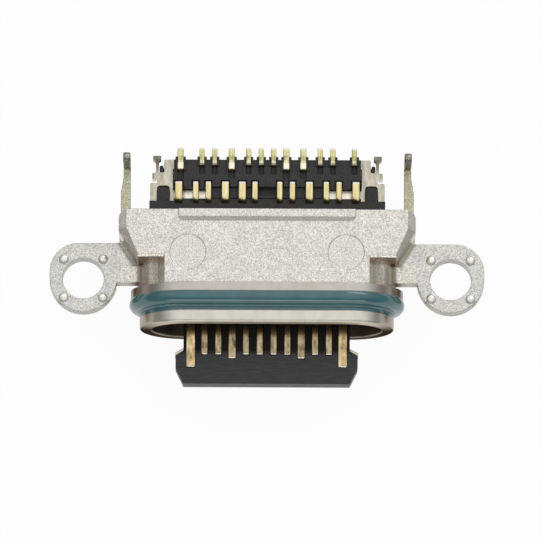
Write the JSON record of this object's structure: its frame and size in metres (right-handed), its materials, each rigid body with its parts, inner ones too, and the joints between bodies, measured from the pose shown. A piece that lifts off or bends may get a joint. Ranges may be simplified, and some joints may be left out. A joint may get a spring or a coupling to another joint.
{
  "type": "charging port",
  "caption": "Sealed screw-down receptacle for a reversible charging plug: metal shell with screw ears, silicone seal ring, contact tongue, and solder tails at the rear.",
  "frame": {"origin": "midway between the two screw holes, on the face of the ears that seats on the device's frame", "axes": "+X across the port through the screw holes, -Y towards the plug that comes in, +Z square to the ears, towards the circuit board"},
  "size_m": [0.0158, 0.0087, 0.0042],
  "materials": {
    "shell_metal": "satin, moulded, finely grained",
    "seal_rubber": "satin",
    "sealant": "matte",
    "insulator": "matte",
    "plate_steel": "satin",
    "contact_gold": "gold plated, polished"
  },
  "bodies": {
    "root": {"housing": "shell_metal", "seal_ring": "seal_rubber", "rear_seal": "sealant", "tongue": "insulator", "upper_carrier": "insulator", "lower_carrier": "insulator", "mid_plate": "plate_steel", "upper_ground_plate": "plate_steel", "lower_ground_plate": "plate_steel", "contact_a1": "contact_gold", "contact_a2": "contact_gold", "contact_a3": "contact_gold", "contact_a4": "contact_gold", "contact_a5": "contact_gold", "contact_a6": "contact_gold", "contact_a7": "contact_gold", "contact_a8": "contact_gold", "contact_a9": "contact_gold", "contact_a10": "contact_gold", "contact_a11": "contact_gold", "contact_a12": "contact_gold", "contact_b1": "contact_gold", "contact_b2": "contact_gold", "contact_b3": "contact_gold", "contact_b4": "contact_gold", "contact_b5": "contact_gold", "contact_b6": "contact_gold", "contact_b7": "contact_gold", "contact_b8": "contact_gold", "contact_b9": "contact_gold", "contact_b10": "contact_gold", "contact_b11": "contact_gold", "contact_b12": "contact_gold"}
  },
  "joints": []
}
